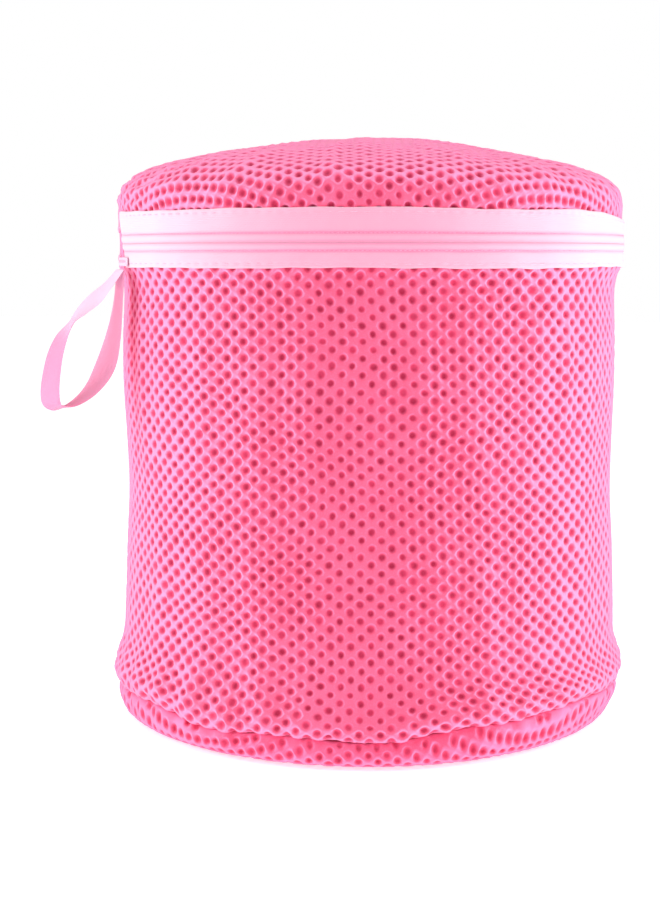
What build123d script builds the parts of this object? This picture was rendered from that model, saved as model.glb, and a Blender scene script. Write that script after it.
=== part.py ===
"""Cylindrical zip-round mesh wash bag.

A self-standing drum of 3 mm spacer mesh with a domed mesh lid. A coil zip runs
round 300 degrees of the rim and a mesh gusset across the gap is the lid's
living hinge. Millimetres, +Z up, origin at the centre of the base where it
rests. The hinge is at +Y, so the mouth of the bag opens from -Y.
Angles are in degrees, measured from +X towards +Y.
"""

from build123d import *
import math
import os

os.makedirs("parts", exist_ok=True)

# ---------------------------------------------------------------- shared dimensions
MESH_T = 3.0            # spacer mesh thickness
CHAIN_Z = 138.5         # height of the zip's centre line

# zip tapes: woven bands lapped over the outside of the mesh
TAPE_R_OUT = 75.0
TAPE_T = 0.7
TAPE_R_IN = TAPE_R_OUT - TAPE_T
TAPE_SLOT = 0.4         # gap between the two tape edges
BAND_BOTTOM = 131.9
BAND_TOP = 147.3

# hinge arc at the back, free of zip
HINGE_MID = 90.0
HINGE_HALF = 29.7
HINGE_GAP = 0.3         # angle kept clear either side of the hinge limit
TAPE_START = HINGE_MID + HINGE_HALF + HINGE_GAP
TAPE_ARC = 360.0 - 2 * (HINGE_HALF + HINGE_GAP)

# mesh where it lies behind a tape
TUCK_R_OUT = TAPE_R_IN - 0.05
TUCK_R_IN = TUCK_R_OUT - MESH_T
WALL_TOP = 134.2
LID_BOTTOM = 143.1

# seam between wall and base, with its allowance turned inwards
SEAM_Z = 7.8
SEAM_R_OUT = 73.7
SEAM_R_IN = 68.6
SEAM_T = 1.4            # each layer of mesh squeezed in that seam


# ---------------------------------------------------------------- helpers
def outward(angle):
    """X and Y of the unit vector pointing out from the Z axis."""
    return math.cos(math.radians(angle)), math.sin(math.radians(angle))


def radial_plane(angle):
    """Sketch plane through the Z axis: local x is outward, local y is up."""
    x, y = outward(angle)
    return Plane(origin=(0, 0, 0), x_dir=(x, y, 0), z_dir=(y, -x, 0))


def tangent_plane(angle, radius, height):
    """Sketch plane facing outward: local x runs along the rim, local y is up."""
    x, y = outward(angle)
    return Plane(origin=(radius * x, radius * y, height), x_dir=(-y, x, 0), z_dir=(x, y, 0))


def save(builder, name):
    builder.part.label = name
    export_step(builder.part, f"parts/{name}.step")


def revolved_polygon(name, points, plane=Plane.XZ, arc=360.0):
    """Piece swept round Z from a closed polygon of (radius, height) points."""
    with BuildPart() as piece:
        with BuildSketch(plane):
            with BuildLine():
                Polyline(*points, close=True)
            make_face()
        revolve(axis=Axis.Z, revolution_arc=arc)
    save(piece, name)


def stitch_ring(name, height, radius, count, size, **spread):
    """Ring of box stitches; size is (radial, along the ring, vertical)."""
    with BuildPart(Plane.XY.offset(height)) as stitches:
        with PolarLocations(radius, count, **spread):
            Box(*size)
    save(stitches, name)


# ---------------------------------------------------------------- wall panel
WALL_GAP = 0.5          # angle between the two edges of the rolled panel

# (radius, height), from the tape down to the base seam
WALL_OUTSIDE = [
    (TUCK_R_OUT, BAND_BOTTOM - 0.3),
    (73.2, 129.0), (72.7, 124.0), (73.1, 112.0), (73.1, 98.0), (72.5, 82.0),
    (72.1, 66.0), (72.8, 50.0), (73.4, 34.0), (74.0, 24.0), (76.0, 17.0),
    (77.2, 13.2), (76.0, 10.0),
    (SEAM_R_OUT, SEAM_Z),
]
# stretch of the wall's inside that the side seam binding covers
STRIP = [(70.1, 112.0), (70.1, 98.0), (69.5, 82.0), (69.1, 66.0), (69.8, 50.0), (70.4, 34.0)]
WALL_INSIDE = [
    (TUCK_R_IN, BAND_BOTTOM - 0.4),
    (70.2, 128.6), (69.7, 124.0),
    *STRIP,
    (71.1, 24.6), (73.1, 17.9), (74.1, 13.8), (73.4, 11.4), (71.8, 9.8),
    (SEAM_R_IN + 1.2, SEAM_Z + SEAM_T),
]

# one rolled panel, its two edges meeting in the seam at the back
with BuildPart() as wall_panel:
    with BuildSketch(radial_plane(HINGE_MID + WALL_GAP / 2)):
        with BuildLine():
            Spline(*WALL_OUTSIDE)
            Polyline(
                WALL_OUTSIDE[0],
                (TUCK_R_OUT, WALL_TOP),
                (TUCK_R_IN, WALL_TOP),
                WALL_INSIDE[0],
            )
            Spline(*WALL_INSIDE)
            Polyline(
                WALL_INSIDE[-1],
                (SEAM_R_IN, SEAM_Z + SEAM_T),
                (SEAM_R_IN, SEAM_Z),
                WALL_OUTSIDE[-1],
            )
        make_face()
    revolve(axis=Axis.Z, revolution_arc=360.0 - WALL_GAP)
save(wall_panel, "wall_panel")

# ---------------------------------------------------------------- base panel
FLOOR_T = 2.7
FLOOR_R = 68.6          # underside is flat out to here
FLOOR_R_IN = 68.4       # upper side is flat out to here
LIP_WIDEST = (75.3, 5.0)
BASE_SEAM_Z = SEAM_Z - 0.02     # just clear of the wall's layer
ALLOWANCE_END = (SEAM_R_IN + 2.0, SEAM_Z - SEAM_T)

# a disc whose rim turns up and in to meet the wall in the same seam
with BuildPart() as base_panel:
    with BuildSketch(Plane.XZ):
        with BuildLine():
            Line((0, 0), (FLOOR_R, 0))
            Bezier((FLOOR_R, 0), (72.0, 0), (75.2, 1.6), LIP_WIDEST)
            Bezier(LIP_WIDEST, (75.3, 6.5), (74.7, 7.3), (SEAM_R_OUT, BASE_SEAM_Z))
            Polyline(
                (SEAM_R_OUT, BASE_SEAM_Z),
                (SEAM_R_IN, BASE_SEAM_Z),
                (SEAM_R_IN, SEAM_Z - SEAM_T),
                ALLOWANCE_END,
            )
            Bezier(ALLOWANCE_END, (72.6, 5.8), (72.4, FLOOR_T), (FLOOR_R_IN, FLOOR_T))
            Polyline((FLOOR_R_IN, FLOOR_T), (0, FLOOR_T), (0, 0))
        make_face()
    revolve(axis=Axis.Z)
save(base_panel, "base_panel")

# ---------------------------------------------------------------- lid panel
LID_TOP = 169.5

# (radius, height), from the tape up to the crown
LID_OUTSIDE = [
    (TUCK_R_OUT, BAND_TOP + 0.1),
    (74.7, 150.4), (73.4, 154.3), (68.8, 158.0), (60.0, 161.4),
    (45.0, 164.9), (22.0, 168.3), (7.0, 169.4),
    (0, LID_TOP),
]
LID_INSIDE = [
    (TUCK_R_IN, BAND_TOP + 1.2),
    (71.5, 150.7), (70.6, 152.7), (67.0, 155.4), (58.8, 158.6),
    (44.2, 161.9), (21.6, 165.3), (7.0, 166.4),
    (0, LID_TOP - MESH_T),
]

# a puffed disc with a skirt that tucks behind the upper tape
with BuildPart() as lid_panel:
    with BuildSketch(Plane.XZ):
        with BuildLine():
            Spline(*LID_OUTSIDE)
            Polyline(
                LID_OUTSIDE[0],
                (TUCK_R_OUT, LID_BOTTOM),
                (TUCK_R_IN, LID_BOTTOM),
                LID_INSIDE[0],
            )
            Spline(*LID_INSIDE)
            Line(LID_INSIDE[-1], LID_OUTSIDE[-1])
        make_face()
    revolve(axis=Axis.Z)
save(lid_panel, "lid_panel")

# ---------------------------------------------------------------- hinge gusset
GUSSET_R_IN = TUCK_R_IN + 0.4
GUSSET_LOW = WALL_TOP + 0.5
GUSSET_HIGH = LID_BOTTOM - 0.5

# the strip of mesh that joins wall to lid between the zip ends
revolved_polygon(
    "hinge_gusset",
    [
        (GUSSET_R_IN, GUSSET_LOW),
        (TUCK_R_OUT, GUSSET_LOW),
        (TUCK_R_OUT, GUSSET_HIGH),
        (GUSSET_R_IN, GUSSET_HIGH),
    ],
    plane=radial_plane(HINGE_MID - HINGE_HALF + HINGE_GAP),
    arc=2 * (HINGE_HALF - HINGE_GAP),
)

# ---------------------------------------------------------------- bindings
BINDING_T = 0.5
BIND_R_OUT = TUCK_R_IN - 0.05
BIND_R_IN = BIND_R_OUT - BINDING_T
RIM_GAP = 0.04          # between a raw mesh edge and the binding over it
RIM_REACH = 0.4         # binding's far face from the same edge

# tape folded over the wall's raw top edge
revolved_polygon(
    "wall_rim_binding",
    [
        (BIND_R_IN, BAND_BOTTOM),
        (BIND_R_OUT, BAND_BOTTOM),
        (BIND_R_OUT, WALL_TOP + RIM_GAP),
        (TUCK_R_OUT, WALL_TOP + RIM_GAP),
        (TUCK_R_OUT, WALL_TOP + RIM_REACH),
        (BIND_R_IN, WALL_TOP + RIM_REACH),
    ],
)

# tape folded over the lid's raw edge
LID_BIND_TOP = BAND_TOP + 0.6
revolved_polygon(
    "lid_rim_binding",
    [
        (BIND_R_IN, LID_BOTTOM - RIM_REACH),
        (TUCK_R_OUT, LID_BOTTOM - RIM_REACH),
        (TUCK_R_OUT, LID_BOTTOM - RIM_GAP),
        (BIND_R_OUT, LID_BOTTOM - RIM_GAP),
        (BIND_R_OUT, LID_BIND_TOP),
        (BIND_R_IN, LID_BIND_TOP),
    ],
)

# tape wrapped round the inward seam allowance at the base
ALLOWANCE_GAP = 0.05    # between the allowance and the tape round it
ALLOWANCE_LOW = SEAM_Z - SEAM_T - ALLOWANCE_GAP
ALLOWANCE_HIGH = SEAM_Z + SEAM_T + ALLOWANCE_GAP
ALLOWANCE_R = SEAM_R_IN - ALLOWANCE_GAP
LOWER_FLAP_R = SEAM_R_IN + 1.8
UPPER_FLAP_R = SEAM_R_IN + 1.1
revolved_polygon(
    "base_seam_binding",
    [
        (LOWER_FLAP_R, ALLOWANCE_LOW),
        (ALLOWANCE_R, ALLOWANCE_LOW),
        (ALLOWANCE_R, ALLOWANCE_HIGH),
        (UPPER_FLAP_R, ALLOWANCE_HIGH),
        (UPPER_FLAP_R, ALLOWANCE_HIGH + BINDING_T),
        (ALLOWANCE_R - BINDING_T, ALLOWANCE_HIGH + BINDING_T),
        (ALLOWANCE_R - BINDING_T, ALLOWANCE_LOW - BINDING_T),
        (LOWER_FLAP_R, ALLOWANCE_LOW - BINDING_T),
    ],
)

# strip that covers the wall's side seam on the inside
STRIP_ARC = 9.0
STRIP_NEAR = 0.2        # strip's two faces, measured inwards from the wall
STRIP_FAR = 0.8
strip_outside = [(radius - STRIP_NEAR, z) for radius, z in STRIP]
strip_inside = [(radius - STRIP_FAR, z) for radius, z in reversed(STRIP)]

with BuildPart() as side_seam_binding:
    with BuildSketch(radial_plane(HINGE_MID - STRIP_ARC / 2)):
        with BuildLine():
            Spline(*strip_outside)
            Line(strip_outside[-1], strip_inside[0])
            Spline(*strip_inside)
            Line(strip_inside[-1], strip_outside[0])
        make_face()
    revolve(axis=Axis.Z, revolution_arc=STRIP_ARC)
save(side_seam_binding, "side_seam_binding")


# ---------------------------------------------------------------- zip tapes
def zip_tape(name, low, high):
    with BuildPart() as tape:
        with BuildSketch(radial_plane(TAPE_START)):
            with Locations(((TAPE_R_IN + TAPE_R_OUT) / 2, (low + high) / 2)):
                Rectangle(TAPE_T, high - low)
        revolve(axis=Axis.Z, revolution_arc=TAPE_ARC)
    save(tape, name)


zip_tape("zip_tape_lower", BAND_BOTTOM, CHAIN_Z - TAPE_SLOT / 2)
zip_tape("zip_tape_upper", CHAIN_Z + TAPE_SLOT / 2, BAND_TOP)

# ---------------------------------------------------------------- nylon coils
COIL_START = 125.4
COIL_PITCH = 1.2        # degrees
COIL_TEETH = 243        # on the lower coil; the upper has one fewer, set between them
COIL_ARC = COIL_PITCH * (COIL_TEETH - 1)
COIL_R = 73.4
COIL_LOW = 136.1        # foot of the lower coil
COIL_HIGH = 141.2       # head of the upper coil
COIL_GAP = 0.2          # each row of teeth stops this far from the centre line
TOOTH_DEPTH = 1.6       # radial
TOOTH_W = 0.62
TOOTH_DEG = math.degrees(TOOTH_W / COIL_R)
SPINE_DEPTH = 1.0       # radial
SPINE_H = 0.6


def zip_coil(name, teeth, start, teeth_low, teeth_high, spine_z):
    """Row of upright teeth joined by a spine centred at spine_z."""
    arc = COIL_PITCH * (teeth - 1)
    with BuildPart() as coil:
        with BuildSketch(Plane.XY.offset(teeth_low)):
            with PolarLocations(
                COIL_R, teeth, start_angle=start, angular_range=arc, endpoint=True
            ):
                Rectangle(TOOTH_DEPTH, TOOTH_W)
        extrude(amount=teeth_high - teeth_low)
        with BuildSketch(radial_plane(start - TOOTH_DEG / 2)):
            with Locations((COIL_R, spine_z)):
                Rectangle(SPINE_DEPTH, SPINE_H)
        revolve(axis=Axis.Z, revolution_arc=arc + TOOTH_DEG)
    save(coil, name)


zip_coil(
    "zip_coil_lower", COIL_TEETH, COIL_START,
    teeth_low=COIL_LOW + SPINE_H,
    teeth_high=CHAIN_Z - COIL_GAP,
    spine_z=COIL_LOW + SPINE_H / 2,
)
zip_coil(
    "zip_coil_upper", COIL_TEETH - 1, COIL_START + COIL_PITCH / 2,
    teeth_low=CHAIN_Z + COIL_GAP,
    teeth_high=COIL_HIGH - SPINE_H,
    spine_z=COIL_HIGH - SPINE_H / 2,
)

# ---------------------------------------------------------------- zip stops
STOP_DEPTH = 1.5        # radial
TOP_STOP_START = COIL_START + COIL_ARC + 0.6
TOP_STOP_RISE = 1.2     # each top stop's centre from the chain's


def zip_stop(name, start, arc, z, height, corner):
    with BuildPart() as stop:
        with BuildSketch(radial_plane(start)):
            with Locations((COIL_R, z)):
                RectangleRounded(STOP_DEPTH, height, corner)
        revolve(axis=Axis.Z, revolution_arc=arc)
    save(stop, name)


zip_stop("zip_bottom_stop", COIL_START - 2.8, arc=1.5, z=CHAIN_Z, height=4.4, corner=0.4)
for side, rise in (("lower", -TOP_STOP_RISE), ("upper", TOP_STOP_RISE)):
    zip_stop(
        f"zip_top_stop_{side}", TOP_STOP_START,
        arc=1.2, z=CHAIN_Z + rise, height=1.9, corner=0.3,
    )

# ---------------------------------------------------------------- stitching
FLAT_STITCH = (0.2, 2.3, 0.45)      # proud of the surface, length, thread width

# rows near the outer edges of the tapes
TAPE_STITCH_PITCH = 2.5     # degrees
TAPE_STITCH_INSET = 1.1     # from the tape's edge
TAPE_ROW_MARGIN = 1.2       # degrees, from each tape end
for side, height in (
    ("lower", BAND_BOTTOM + TAPE_STITCH_INSET),
    ("upper", BAND_TOP - TAPE_STITCH_INSET),
):
    stitch_ring(
        f"tape_stitching_{side}", height,
        radius=TAPE_R_OUT + 0.13,
        count=int(TAPE_ARC / TAPE_STITCH_PITCH),
        size=FLAT_STITCH,
        start_angle=TAPE_START + TAPE_ROW_MARGIN,
        angular_range=TAPE_ARC - 2 * TAPE_ROW_MARGIN,
        endpoint=True,
    )

# the two threads that hold each coil to its tape
THREAD_R = 0.14
THREAD_RING_R = TAPE_R_OUT + 0.16
THREAD_MARGIN = 1.0         # degrees, from each tape end
for side, height in (("lower", COIL_LOW + 0.3), ("upper", COIL_HIGH - 0.3)):
    with BuildPart() as coil_stitching:
        with BuildSketch(radial_plane(TAPE_START + THREAD_MARGIN)):
            with Locations((THREAD_RING_R, height)):
                Circle(THREAD_R)
        revolve(axis=Axis.Z, revolution_arc=TAPE_ARC - 2 * THREAD_MARGIN)
    save(coil_stitching, f"coil_stitching_{side}")

# row through the base binding
stitch_ring(
    "base_seam_stitching", ALLOWANCE_HIGH + BINDING_T + 0.12,
    radius=SEAM_R_IN + 0.25, count=120, size=(0.45, 2.4, 0.2),
)

# two rows down the side seam binding
SIDE_ROW_X = 4.0            # each row from the seam's middle
SIDE_STITCHES = 22          # in each row
SIDE_STITCH_PITCH = 3.3
SIDE_STITCH_LOWEST = 38.0
SIDE_STITCH_DEPTH = 1.12    # stitch centres, measured inwards from the wall


def strip_radius(height):
    """Wall's inside radius at a height within STRIP, taken as straight between points."""
    for (high_r, high_z), (low_r, low_z) in zip(STRIP, STRIP[1:]):
        if low_z <= height <= high_z:
            return low_r + (high_r - low_r) * (height - low_z) / (high_z - low_z)


side_rows = []
for i in range(SIDE_STITCHES):
    height = SIDE_STITCH_LOWEST + SIDE_STITCH_PITCH * i
    reach = math.sqrt((strip_radius(height) - SIDE_STITCH_DEPTH) ** 2 - SIDE_ROW_X**2)
    side_rows += [(reach, height, -SIDE_ROW_X), (reach, height, SIDE_ROW_X)]

with BuildPart(radial_plane(HINGE_MID)) as side_seam_stitching:
    with Locations(*side_rows):
        Box(*FLAT_STITCH)
save(side_seam_stitching, "side_seam_stitching")

# whipped stitches along both edges of the gusset
WHIP_HALF = 27.4            # degrees either side of the hinge's middle
WHIP_OFFSET = 0.22          # stitch centres from the mesh edge, into the hinge
for side, height in (
    ("lower", WALL_TOP + WHIP_OFFSET),
    ("upper", LID_BOTTOM - WHIP_OFFSET),
):
    stitch_ring(
        f"hinge_stitching_{side}", height,
        radius=TUCK_R_OUT + 0.14, count=24, size=(0.22, 0.45, 2.4),
        start_angle=HINGE_MID - WHIP_HALF,
        angular_range=2 * WHIP_HALF,
        endpoint=True,
    )

# ---------------------------------------------------------------- slider
# parked at the closed end; local x runs along the rim towards the hinge
SLIDER_AT = 52.3
SLIDER_Z = 138.6
SLIDER_HALF_L = 6.0
SLIDER_HALF_H = 3.6
OUTER_PLATE_R = 75.9        # inward face of the outer plate
OUTER_PLATE_T = 1.0
INNER_PLATE_R = 71.2        # inward face of the inner plate
INNER_PLATE_T = 0.9
POST_L = 3.0
POST_H = 0.24               # thin enough for the slot between the tapes
POST_R_IN = INNER_PLATE_R + INNER_PLATE_T - 0.1     # bedded in both plates
POST_R_OUT = OUTER_PLATE_R + 0.2
LIP_L = 6.4
LIP_H = 0.8
LIP_DEPTH = 1.7
BRIDGE_L = 6.4
BRIDGE_W = 1.6
BRIDGE_LEG_L = 1.2
BRIDGE_RISE = 1.6           # clear height under the bridge
BRIDGE_T = 0.8
BRIDGE_LEG_X = (BRIDGE_L - BRIDGE_LEG_L) / 2

# (along the rim, up) from the slider's middle
NOSE_X = SLIDER_HALF_L - 1.2
PLATE_OUTLINE = [
    (-SLIDER_HALF_L, -2.9),
    (0.0, -SLIDER_HALF_H),
    (NOSE_X, -SLIDER_HALF_H),
    (SLIDER_HALF_L, -2.2),
    (SLIDER_HALF_L, 2.2),
    (NOSE_X, SLIDER_HALF_H),
    (0.0, SLIDER_HALF_H),
    (-SLIDER_HALF_L, 2.9),
]


def slider_plane(radius):
    return tangent_plane(SLIDER_AT, radius, SLIDER_Z)


# two plates joined by a thin post through the tape slot; there is no upper
# lip, because the chain here is rigid and has to pass
with BuildPart() as zip_slider:
    for plate_r, thickness in (
        (OUTER_PLATE_R, OUTER_PLATE_T),
        (INNER_PLATE_R, INNER_PLATE_T),
    ):
        with BuildSketch(slider_plane(plate_r)):
            with BuildLine():
                Polyline(*PLATE_OUTLINE, close=True)
            make_face()
        extrude(amount=thickness)
    # post
    with BuildSketch(slider_plane(POST_R_IN)):
        with Locations((0, CHAIN_Z - SLIDER_Z)):
            Rectangle(POST_L, POST_H)
    extrude(amount=POST_R_OUT - POST_R_IN)
    # lower lip, folded from the inner plate towards the tape
    with BuildSketch(slider_plane(INNER_PLATE_R + INNER_PLATE_T)):
        with Locations((1.6, -SLIDER_HALF_H + LIP_H / 2)):
            Rectangle(LIP_L, LIP_H)
    extrude(amount=LIP_DEPTH)
    # bridge over the pull's cross bar: two legs, then the top
    with BuildSketch(slider_plane(OUTER_PLATE_R + OUTER_PLATE_T)):
        with Locations((-BRIDGE_LEG_X, 0), (BRIDGE_LEG_X, 0)):
            Rectangle(BRIDGE_LEG_L, BRIDGE_W)
    extrude(amount=BRIDGE_RISE)
    with BuildSketch(slider_plane(OUTER_PLATE_R + OUTER_PLATE_T + BRIDGE_RISE)):
        RectangleRounded(BRIDGE_L, BRIDGE_W, 0.5)
    extrude(amount=BRIDGE_T)
save(zip_slider, "zip_slider")

# ---------------------------------------------------------------- pull
PULL_R = OUTER_PLATE_R + OUTER_PLATE_T + BRIDGE_RISE / 2    # mid-height under the bridge
PULL_T = 0.8
PULL_L = 16.0
PULL_HALF_W = 3.0
PULL_TIP_R = 2.5            # rounded free end
WINDOW_L = 4.9              # opening between the two arms
WINDOW_W = 3.4
PULL_HOLE_X = 12.6
PULL_HOLE_R = 1.1
CROSS_BAR_R = 0.48

# (along the rim, up) from the cross bar
PULL_OUTLINE = [
    (0, -PULL_HALF_W), (6.0, -PULL_HALF_W), (14.0, -PULL_TIP_R),
    (14.0, PULL_TIP_R), (6.0, PULL_HALF_W), (0, PULL_HALF_W),
]

# a cross bar under the bridge, two arms and a flat tab
with BuildPart() as zip_pull:
    with BuildSketch(slider_plane(PULL_R - PULL_T / 2)):
        with BuildLine():
            Polyline(*PULL_OUTLINE, close=True)
        make_face()
        with Locations((PULL_L - PULL_TIP_R, 0)):
            Circle(PULL_TIP_R)
        with Locations((WINDOW_L / 2, 0)):
            Rectangle(WINDOW_L, WINDOW_W, mode=Mode.SUBTRACT)
        with Locations((PULL_HOLE_X, 0)):
            Circle(PULL_HOLE_R, mode=Mode.SUBTRACT)
    extrude(amount=PULL_T)
    slider_x, slider_y = outward(SLIDER_AT)
    with BuildSketch(Plane.XY.offset(SLIDER_Z - PULL_HALF_W)):
        with Locations((PULL_R * slider_x, PULL_R * slider_y)):
            Circle(CROSS_BAR_R)
    extrude(amount=2 * PULL_HALF_W)
save(zip_pull, "zip_pull")

# ---------------------------------------------------------------- hanging loop
LOOP_AT = 125.0
LOOP_W = 9.0
LOOP_T = 0.8
FOLD_RADIUS = 76.0          # fold line, as distance from Z and height
FOLD_Z = 131.0
FOLD_ROLL_R = 0.8           # roll of ribbon along the fold line
ANCHOR_R_IN = TAPE_R_OUT + 0.3
ANCHOR_T = 0.7
ANCHOR_H = 2.4
ANCHOR_Z = BAND_BOTTOM + 1.8
ANCHOR_ARC = 6.6

# sewn-down end of the ribbon, on the band
with BuildPart() as loop_anchor:
    with BuildSketch(radial_plane(LOOP_AT - ANCHOR_ARC / 2)):
        with Locations((ANCHOR_R_IN + ANCHOR_T / 2, ANCHOR_Z)):
            RectangleRounded(ANCHOR_T, ANCHOR_H, 0.3)
    revolve(axis=Axis.Z, revolution_arc=ANCHOR_ARC)
save(loop_anchor, "loop_anchor")

# seven upright stitches across the anchor
with BuildPart() as loop_bartack:
    with BuildSketch(tangent_plane(LOOP_AT, ANCHOR_R_IN + ANCHOR_T + 0.02, ANCHOR_Z)):
        with GridLocations(1.2, 1.0, 7, 1):
            Rectangle(0.4, 2.0)
    extrude(amount=0.2)
save(loop_bartack, "loop_bartack")

# middle of the ribbon's thickness, (radius, height): out and down from the
# fold line, round the bottom and back up beside the wall
LOOP_PATH = [
    (FOLD_RADIUS + 0.35, FOLD_Z - 0.3),
    (83.3, 122.6), (90.3, 116.4), (95.4, 107.6), (96.8, 99.4), (95.4, 94.4),
    (92.0, 92.2), (87.4, 93.2), (82.8, 96.9), (79.2, 103.4), (77.2, 112.0),
    (76.5, 121.6),
    (FOLD_RADIUS, FOLD_Z - 0.45),
]
# where the two strands' inner faces meet
CROTCH = (FOLD_RADIUS + 0.8, FOLD_Z - 1.5)

# offset the path half a thickness each way, square to the line between neighbours
loop_outside, loop_inside = [], []
for i, (x, y) in enumerate(LOOP_PATH):
    before_x, before_y = LOOP_PATH[max(i - 1, 0)]
    after_x, after_y = LOOP_PATH[min(i + 1, len(LOOP_PATH) - 1)]
    run = math.hypot(after_x - before_x, after_y - before_y)
    offset_x = (before_y - after_y) / run * LOOP_T / 2
    offset_y = (after_x - before_x) / run * LOOP_T / 2
    loop_outside.append((x + offset_x, y + offset_y))
    loop_inside.append((x - offset_x, y - offset_y))

with BuildPart() as hanging_loop:
    with BuildSketch(radial_plane(LOOP_AT)):
        with BuildLine():
            Spline(*loop_outside)
            Line(loop_outside[-1], loop_outside[0])
        make_face()
        with BuildLine():
            Spline(*loop_inside[1:-1])
            Polyline(loop_inside[-2], CROTCH, loop_inside[1])
        make_face(mode=Mode.SUBTRACT)
        with Locations((FOLD_RADIUS, FOLD_Z)):
            Circle(FOLD_ROLL_R)
    extrude(amount=LOOP_W / 2, both=True)
save(hanging_loop, "hanging_loop")
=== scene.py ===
"""A round zipped bag of perforated knit with a domed lid, a hinge and a hanging ribbon.

The bag's axis is Z and it stands on z = 0. The hinge and the side seam are at +Y, and the
ribbon hangs beside the hinge, towards -X. The viewer looks from FRONT, close to -X. Left and
right are the viewer's, and angles about Z grow from left to right across the front.
Lengths are in millimetres and angles in radians unless a comment says otherwise.
"""
import math

import bpy
import numpy as np
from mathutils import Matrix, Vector


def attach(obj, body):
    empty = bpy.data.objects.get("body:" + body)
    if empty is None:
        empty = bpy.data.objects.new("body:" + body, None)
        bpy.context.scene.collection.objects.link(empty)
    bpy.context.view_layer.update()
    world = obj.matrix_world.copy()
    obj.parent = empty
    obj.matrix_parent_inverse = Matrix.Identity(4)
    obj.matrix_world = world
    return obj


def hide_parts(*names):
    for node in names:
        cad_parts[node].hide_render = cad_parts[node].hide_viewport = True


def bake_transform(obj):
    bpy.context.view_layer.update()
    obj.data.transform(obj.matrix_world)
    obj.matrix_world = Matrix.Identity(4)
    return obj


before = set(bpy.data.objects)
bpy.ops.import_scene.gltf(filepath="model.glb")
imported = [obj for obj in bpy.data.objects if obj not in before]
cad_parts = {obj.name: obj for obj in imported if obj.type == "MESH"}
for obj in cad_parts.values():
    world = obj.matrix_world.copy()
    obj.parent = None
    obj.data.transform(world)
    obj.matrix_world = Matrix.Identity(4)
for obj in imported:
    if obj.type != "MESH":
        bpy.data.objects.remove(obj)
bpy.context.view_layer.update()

MM = 0.001
FULL_TURN = 2 * math.pi
FRONT = math.radians(192.0)
SEAM_ANGLE = math.pi / 2        # the wall's side seam, at +Y
scene = bpy.context.scene

# ------------------------------------------------------------------ mesh building


def fast_mesh(name, points, polys, mats, mat_index=None, **attrs):
    """Makes a smooth object. polys is a list of (n, k) index arrays with a material index
    each. Faces without area and unused points are left out."""
    points = np.asarray(points, float).reshape(-1, 3)
    kept, kept_mats = [], []
    for poly, index in zip(polys, mat_index or [0] * len(polys)):
        poly = np.asarray(poly, int)
        a, b, c = (points[poly[:, i]] for i in range(3))
        size = np.linalg.norm(np.cross(b - a, c - a), axis=1)
        if poly.shape[1] == 4:
            size = size + np.linalg.norm(np.cross(c - a, points[poly[:, 3]] - a), axis=1)
        ok = size > 1e-5
        kept.append(poly[ok])
        kept_mats.append(np.full(int(ok.sum()), index, np.int32))
    used = np.unique(np.concatenate([poly.ravel() for poly in kept]))
    remap = np.full(len(points), -1)
    remap[used] = np.arange(len(used))
    loops = np.concatenate([remap[poly].ravel() for poly in kept])
    sizes = np.concatenate([np.full(len(poly), poly.shape[1]) for poly in kept])
    starts = np.concatenate([[0], np.cumsum(sizes)[:-1]])
    mesh = bpy.data.meshes.new(name)
    mesh.vertices.add(len(used))
    mesh.vertices.foreach_set("co", (points[used] * MM).astype(np.float32).ravel())
    mesh.loops.add(len(loops))
    mesh.loops.foreach_set("vertex_index", loops.astype(np.int32))
    mesh.polygons.add(len(sizes))
    mesh.polygons.foreach_set("loop_start", starts.astype(np.int32))
    mesh.polygons.foreach_set("use_smooth", np.full(len(sizes), True, bool))
    for mat in mats:
        mesh.materials.append(mat)
    mesh.polygons.foreach_set("material_index", np.concatenate(kept_mats))
    mesh.update(calc_edges=True)
    mesh.validate()
    for key, values in attrs.items():
        values = np.broadcast_to(np.ravel(values), len(points)).astype(np.float32)
        mesh.attributes.new(key, "FLOAT", "POINT").data.foreach_set("value", values[used])
    ob = bpy.data.objects.new(name, mesh)
    scene.collection.objects.link(ob)
    return ob


class Pile:
    """Collects parts of one mesh."""

    def __init__(self):
        self.points, self.polys, self.mat_index, self.zone, self.count = [], [], [], [], 0

    def add(self, points, polys, mat=0, zone=0.0):
        points = np.asarray(points, float).reshape(-1, 3)
        self.points.append(points)
        self.zone.append(np.broadcast_to(zone, len(points)))
        for poly in polys:
            if len(poly):
                self.polys.append(np.asarray(poly, int) + self.count)
                self.mat_index.append(mat)
        self.count += len(points)

    def done(self, name, mats):
        return fast_mesh(name, np.concatenate(self.points), self.polys, mats,
                         self.mat_index, zone=np.concatenate(self.zone))


def grid_faces(rows, cols, wrap=False, flip=False):
    """Quads for a grid of vertices stored row by row."""
    r = np.arange(rows - 1)[:, None]
    c = np.arange(cols if wrap else cols - 1)[None, :]
    after = (c + 1) % cols
    quads = np.stack([r * cols + c, r * cols + after,
                      (r + 1) * cols + after, (r + 1) * cols + c], -1).reshape(-1, 4)
    return quads[:, ::-1] if flip else quads


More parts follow.
